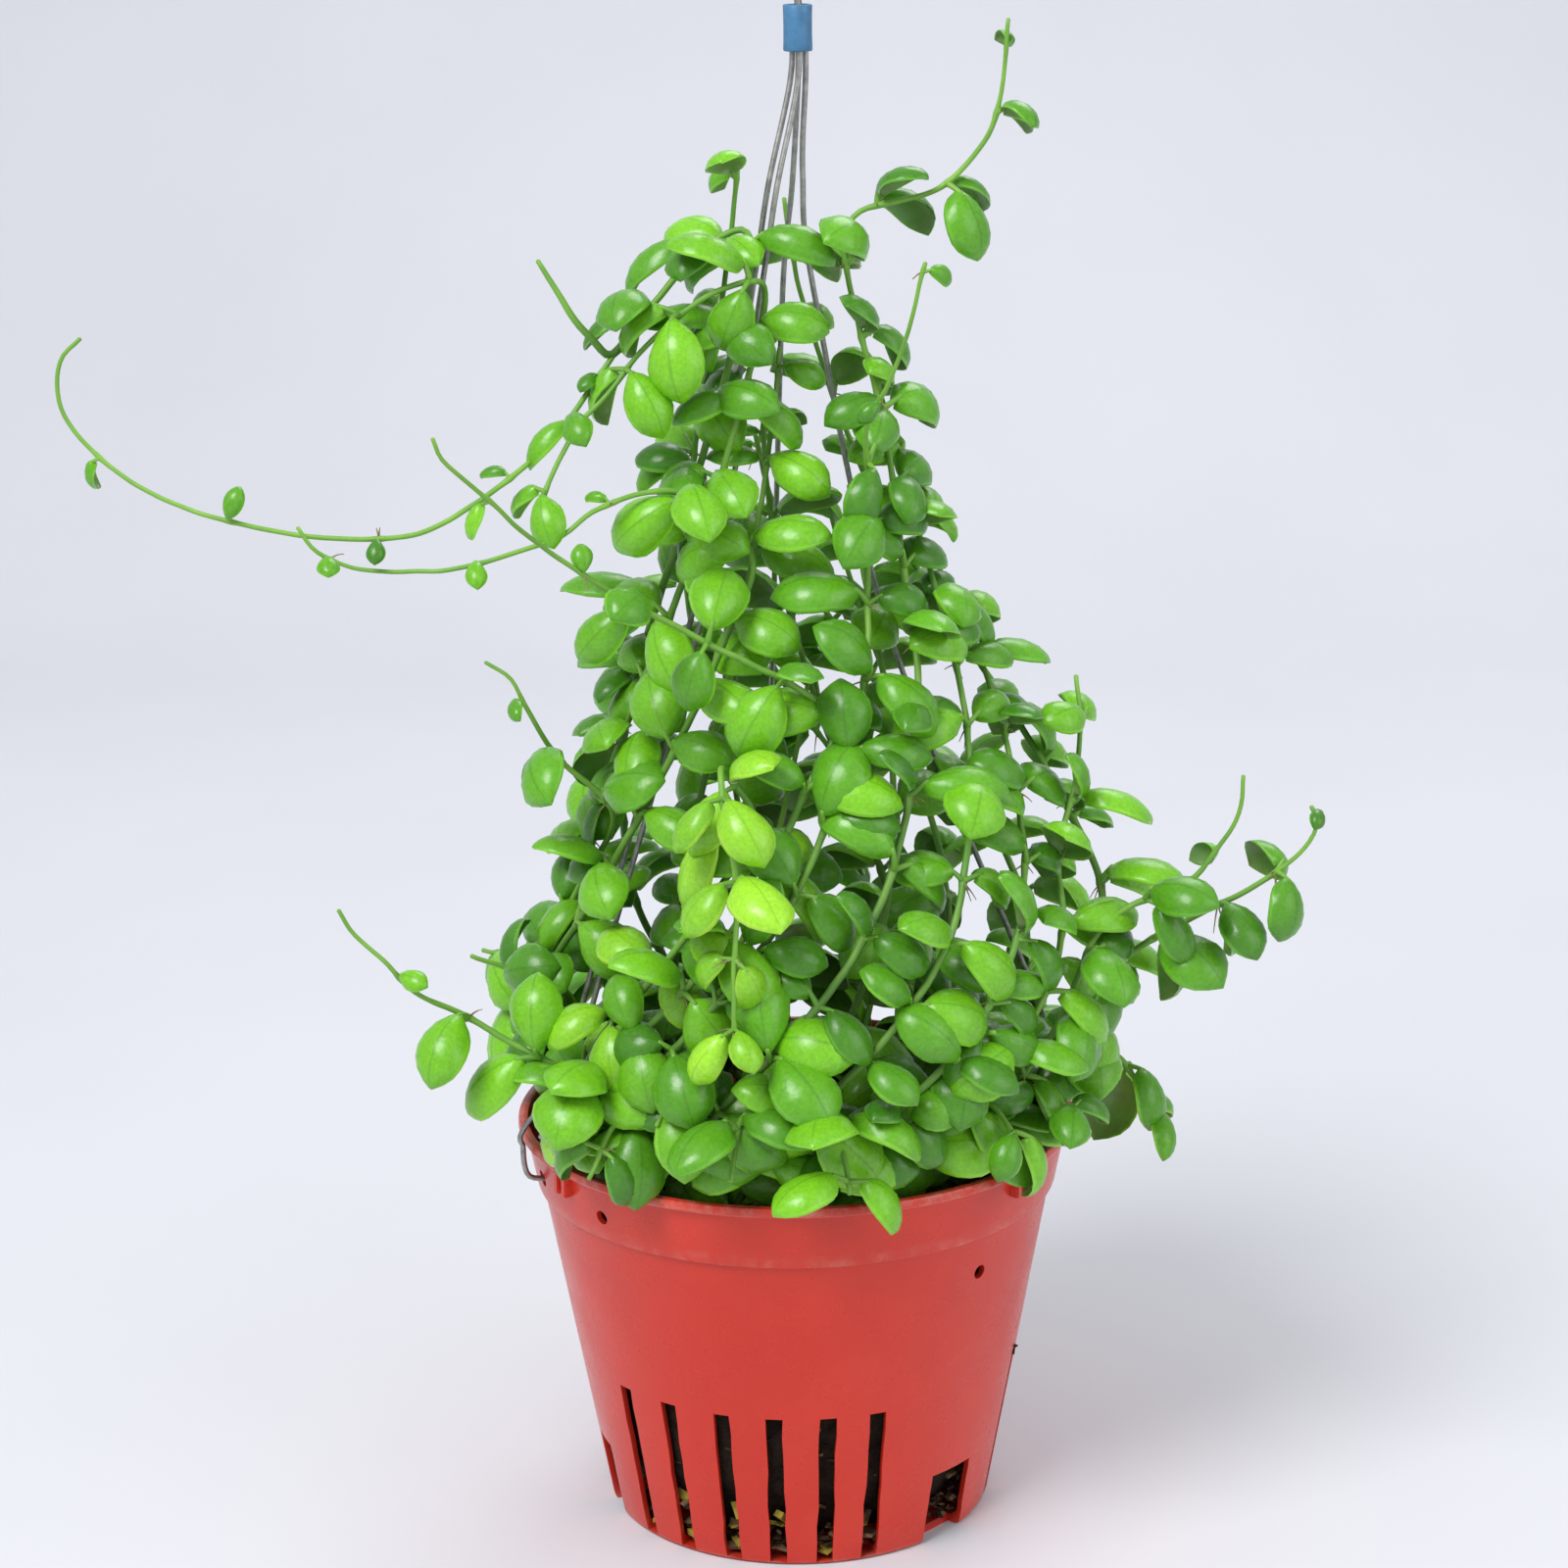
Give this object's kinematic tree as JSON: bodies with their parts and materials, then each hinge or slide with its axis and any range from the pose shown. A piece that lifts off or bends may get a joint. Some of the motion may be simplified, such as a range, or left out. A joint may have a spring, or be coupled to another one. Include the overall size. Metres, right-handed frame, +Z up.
{
  "type": "potted dischidia",
  "caption": "Trailing house plant with thick oval leaves winding up a wire hanger that is clipped to a tapered, slotted plastic pot.",
  "frame": {"origin": "centre of the underside of the pot's base, where it stands", "axes": "+Z up along the pot's axis towards the hanger's hook, -Y towards the front, where the pot's lug is to the right"},
  "size_m": [0.3566, 0.217, 0.5014],
  "materials": {
    "pot_plastic": "satin red plastic, scuffed",
    "growing_mix": "dark coir and bark, matt",
    "galvanised_wire": "dull galvanised",
    "sleeve_plastic": "satin blue plastic",
    "leaf_green": "waxy green leaf, satin",
    "leaf_dark": "waxy darker green leaf, satin",
    "leaf_young": "waxy young yellow-green leaf, satin"
  },
  "bodies": {
    "root": {"pot": "pot_plastic", "growing_mix": "growing_mix", "hanger_leg_left": "galvanised_wire", "hanger_leg_right": "galvanised_wire", "hanger_leg_rear": "galvanised_wire", "hanger_leg_left_second": "galvanised_wire", "hanger_sleeve": "sleeve_plastic", "hanger_hook": "galvanised_wire", "vine_right_rear": "leaf_green", "vine_rear_short": "leaf_dark", "vine_crown_rear": "leaf_green", "vine_long_left": "leaf_dark", "vine_left_arch": "leaf_green", "vine_left_middle": "leaf_dark", "vine_left_lower_runner": "leaf_green", "vine_front_pendent": "leaf_young", "vine_foreground_tendril": "leaf_green", "vine_front_tendril": "leaf_dark", "vine_left_low_tendril": "leaf_green", "vine_crown_right": "leaf_dark", "vine_front": "leaf_green", "vine_front_right": "leaf_dark", "vine_right_middle": "leaf_green", "vine_right_runner": "leaf_dark", "vine_crown_front": "leaf_green", "vine_right_low_runner": "leaf_dark", "vine_inner_a": "leaf_green", "vine_inner_b": "leaf_dark", "vine_inner_c": "leaf_green", "vine_inner_d": "leaf_dark", "vine_inner_e": "leaf_green", "vine_inner_f": "leaf_dark", "shoot_left": "leaf_green", "shoot_left_front": "leaf_dark", "shoot_front_left": "leaf_green", "shoot_front_left_low": "leaf_dark", "shoot_front_left_high": "leaf_green", "shoot_front": "leaf_dark", "shoot_front_low": "leaf_green", "shoot_front_tall": "leaf_dark", "shoot_front_right": "leaf_green", "shoot_right_front": "leaf_dark", "shoot_right": "leaf_green", "shoot_rear_right": "leaf_dark", "shoot_rear": "leaf_green", "shoot_rear_left": "leaf_dark"}
  },
  "joints": []
}
